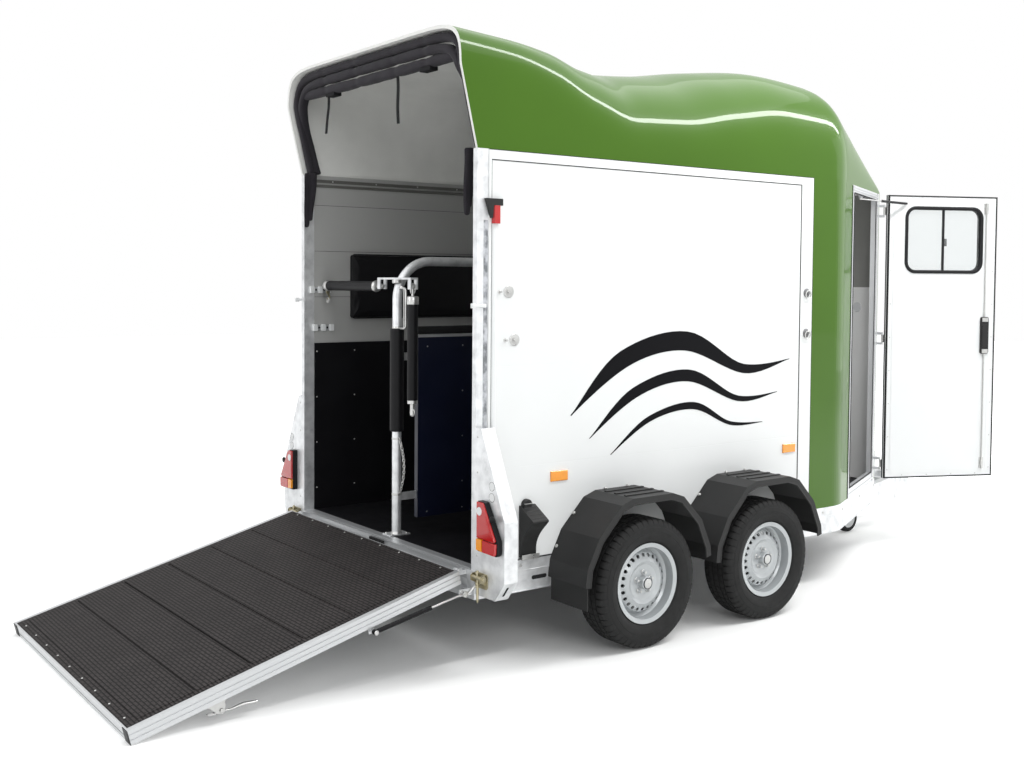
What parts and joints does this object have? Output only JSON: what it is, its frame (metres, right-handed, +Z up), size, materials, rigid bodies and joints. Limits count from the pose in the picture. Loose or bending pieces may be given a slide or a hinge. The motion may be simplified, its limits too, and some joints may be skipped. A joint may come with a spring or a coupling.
{
  "type": "horse trailer",
  "caption": "Two-horse trailer with a green moulded roof and nose, white side panels, lowered rear ramp, open front side door, partition, tandem axles and a jockey wheel.",
  "frame": {"origin": "centre of the coupling's ball socket", "axes": "+X forwards in the direction of towing, +Y to the left, +Z up"},
  "size_m": [6.3814, 2.269, 3.0101],
  "materials": {
    "galvanised": "hot-dip galvanised steel with a faint spangle",
    "rubber": "black rubber",
    "tyre": "black road tyre",
    "rim_silver": "silver-painted steel wheel",
    "guard_black": "moulded black plastic with a fine grain",
    "panel_white": "white gel-coated sandwich panel",
    "shell_green": "glossy green moulded fibreglass",
    "aluminium": "extruded aluminium, satin",
    "kick_black": "black kick panel with rivets",
    "panel_navy": "dark navy panel with rivets",
    "floor_rubber": "black ribbed rubber mat",
    "pad_black": "black padded vinyl",
    "canopy_black": "black canopy cloth, rolled up",
    "fitting_black": "black plastic and rubber fittings",
    "glass": "tinted acrylic glazing in a black frame",
    "lamp_red": "moulded lamp lenses, red, amber and white",
    "grip_steel": "zinc-plated steel"
  },
  "bodies": {
    "trailer": {"chassis_frame": "galvanised", "drawbar": "galvanised", "axle_rear": "galvanised", "axle_front": "galvanised", "mudguards_right": "guard_black", "mudguards_left": "guard_black", "jockey_tube": "galvanised", "overrun_device": "galvanised", "coupling_head": "grip_steel", "floor_deck": "floor_rubber", "wall_right": "panel_white", "wall_left": "panel_white", "kick_panels": "kick_black", "rear_frame": "galvanised", "sill_buffer": "rubber", "roof": "shell_green", "nose_shell": "shell_green", "door_frame": "aluminium", "nose_window": "glass", "partition_frame": "galvanised", "partition_panel": "panel_navy", "pads": "pad_black", "breast_bars": "pad_black", "canopy": "canopy_black", "wall_fittings": "galvanised", "lamp_guards": "galvanised", "lamps": "lamp_red", "wheel_chocks": "guard_black"},
    "wheel_rear_right": {"tyre_rear_right": "tyre", "rim_rear_right": "rim_silver"},
    "wheel_rear_left": {"tyre_rear_left": "tyre", "rim_rear_left": "rim_silver"},
    "wheel_front_right": {"tyre_front_right": "tyre", "rim_front_right": "rim_silver"},
    "wheel_front_left": {"tyre_front_left": "tyre", "rim_front_left": "rim_silver"},
    "jockey_slider": {"jockey_stem": "galvanised"},
    "jockey_swivel": {"jockey_fork": "galvanised"},
    "jockey_roller": {"jockey_wheel": "rubber"},
    "ramp": {"ramp_frame": "aluminium", "ramp_mat": "floor_rubber", "ramp_fittings": "grip_steel"},
    "struts": {"strut_cylinders": "fitting_black"},
    "strut_pistons": {"strut_rods": "grip_steel"},
    "door": {"door_leaf": "panel_white", "door_window": "glass", "door_fittings": "fitting_black"},
    "stay": {"stay_cylinder": "fitting_black"},
    "stay_piston": {"stay_rod": "grip_steel"},
    "bar_left": {"rear_bar_left": "pad_black"},
    "bar_right": {"rear_bar_right": "pad_black"}
  },
  "joints": [
    {"name": "wheel_rear_right_spin", "type": "hinge", "parent": "trailer", "child": "wheel_rear_right", "pos_m": [-3.898, -1.022, -0.116], "axis": [0, 1, 0], "continuous": true},
    {"name": "wheel_rear_left_spin", "type": "hinge", "parent": "trailer", "child": "wheel_rear_left", "pos_m": [-3.898, 1.022, -0.116], "axis": [0, 1, 0], "continuous": true},
    {"name": "wheel_front_right_spin", "type": "hinge", "parent": "trailer", "child": "wheel_front_right", "pos_m": [-3.034, -1.022, -0.116], "axis": [0, 1, 0], "continuous": true},
    {"name": "wheel_front_left_spin", "type": "hinge", "parent": "trailer", "child": "wheel_front_left", "pos_m": [-3.034, 1.022, -0.116], "axis": [0, 1, 0], "continuous": true},
    {"name": "jockey_lift", "type": "slide", "parent": "trailer", "child": "jockey_slider", "axis": [0, 0, 1], "range_m": [0, 0.2]},
    {"name": "jockey_turn", "type": "hinge", "parent": "jockey_slider", "child": "jockey_swivel", "pos_m": [-0.835, 0, -0.195], "axis": [0, 0, 1], "continuous": true},
    {"name": "jockey_roll", "type": "hinge", "parent": "jockey_swivel", "child": "jockey_roller", "pos_m": [-0.88, 0, -0.335], "axis": [0, 1, 0], "continuous": true},
    {"name": "ramp_hinge", "type": "hinge", "parent": "trailer", "child": "ramp", "pos_m": [-4.79, 0, 0.005], "axis": [0, 1, 0], "range_deg": [0, 104.48]},
    {"name": "strut_swing", "type": "hinge", "parent": "ramp", "child": "struts", "pos_m": [-5.27416, 0, -0.17583], "axis": [0, 1, 0], "range_deg": [-7.07, 1]},
    {"name": "strut_stroke", "type": "slide", "parent": "struts", "child": "strut_pistons", "axis": [0.9793, 0, 0.2022], "range_m": [-0.002, 0.128]},
    {"name": "door_hinge", "type": "hinge", "parent": "trailer", "child": "door", "pos_m": [-1.16244, -0.45895, 0.97], "axis": [0, 0, 1], "range_deg": [-130.6, 0]},
    {"name": "stay_swing", "type": "hinge", "parent": "door", "child": "stay", "pos_m": [-1.06336, -0.55486, 1.86], "axis": [0, 0, 1], "range_deg": [-1, 148.37]},
    {"name": "stay_stroke", "type": "slide", "parent": "stay", "child": "stay_piston", "axis": [-0.9915, -0.1299, 0], "range_m": [-0.2089, 0.002]},
    {"name": "bar_left_drop", "type": "hinge", "parent": "trailer", "child": "bar_left", "pos_m": [-4.64, 0.15, 1.304], "axis": [1, 0, 0], "range_deg": [-90, 0]},
    {"name": "bar_right_lift", "type": "hinge", "parent": "trailer", "child": "bar_right", "pos_m": [-4.64, -0.15, 1.304], "axis": [1, 0, 0], "range_deg": [-90, 0]}
  ],
  "couplings": [
    {"joint": "strut_swing", "follows": "ramp_hinge", "ratio": -0.05806},
    {"joint": "strut_stroke", "follows": "ramp_hinge", "m_per_rad": 0.0691},
    {"joint": "stay_swing", "follows": "door_hinge", "ratio": -1.1284},
    {"joint": "stay_stroke", "follows": "door_hinge", "m_per_rad": 0.09078}
  ]
}
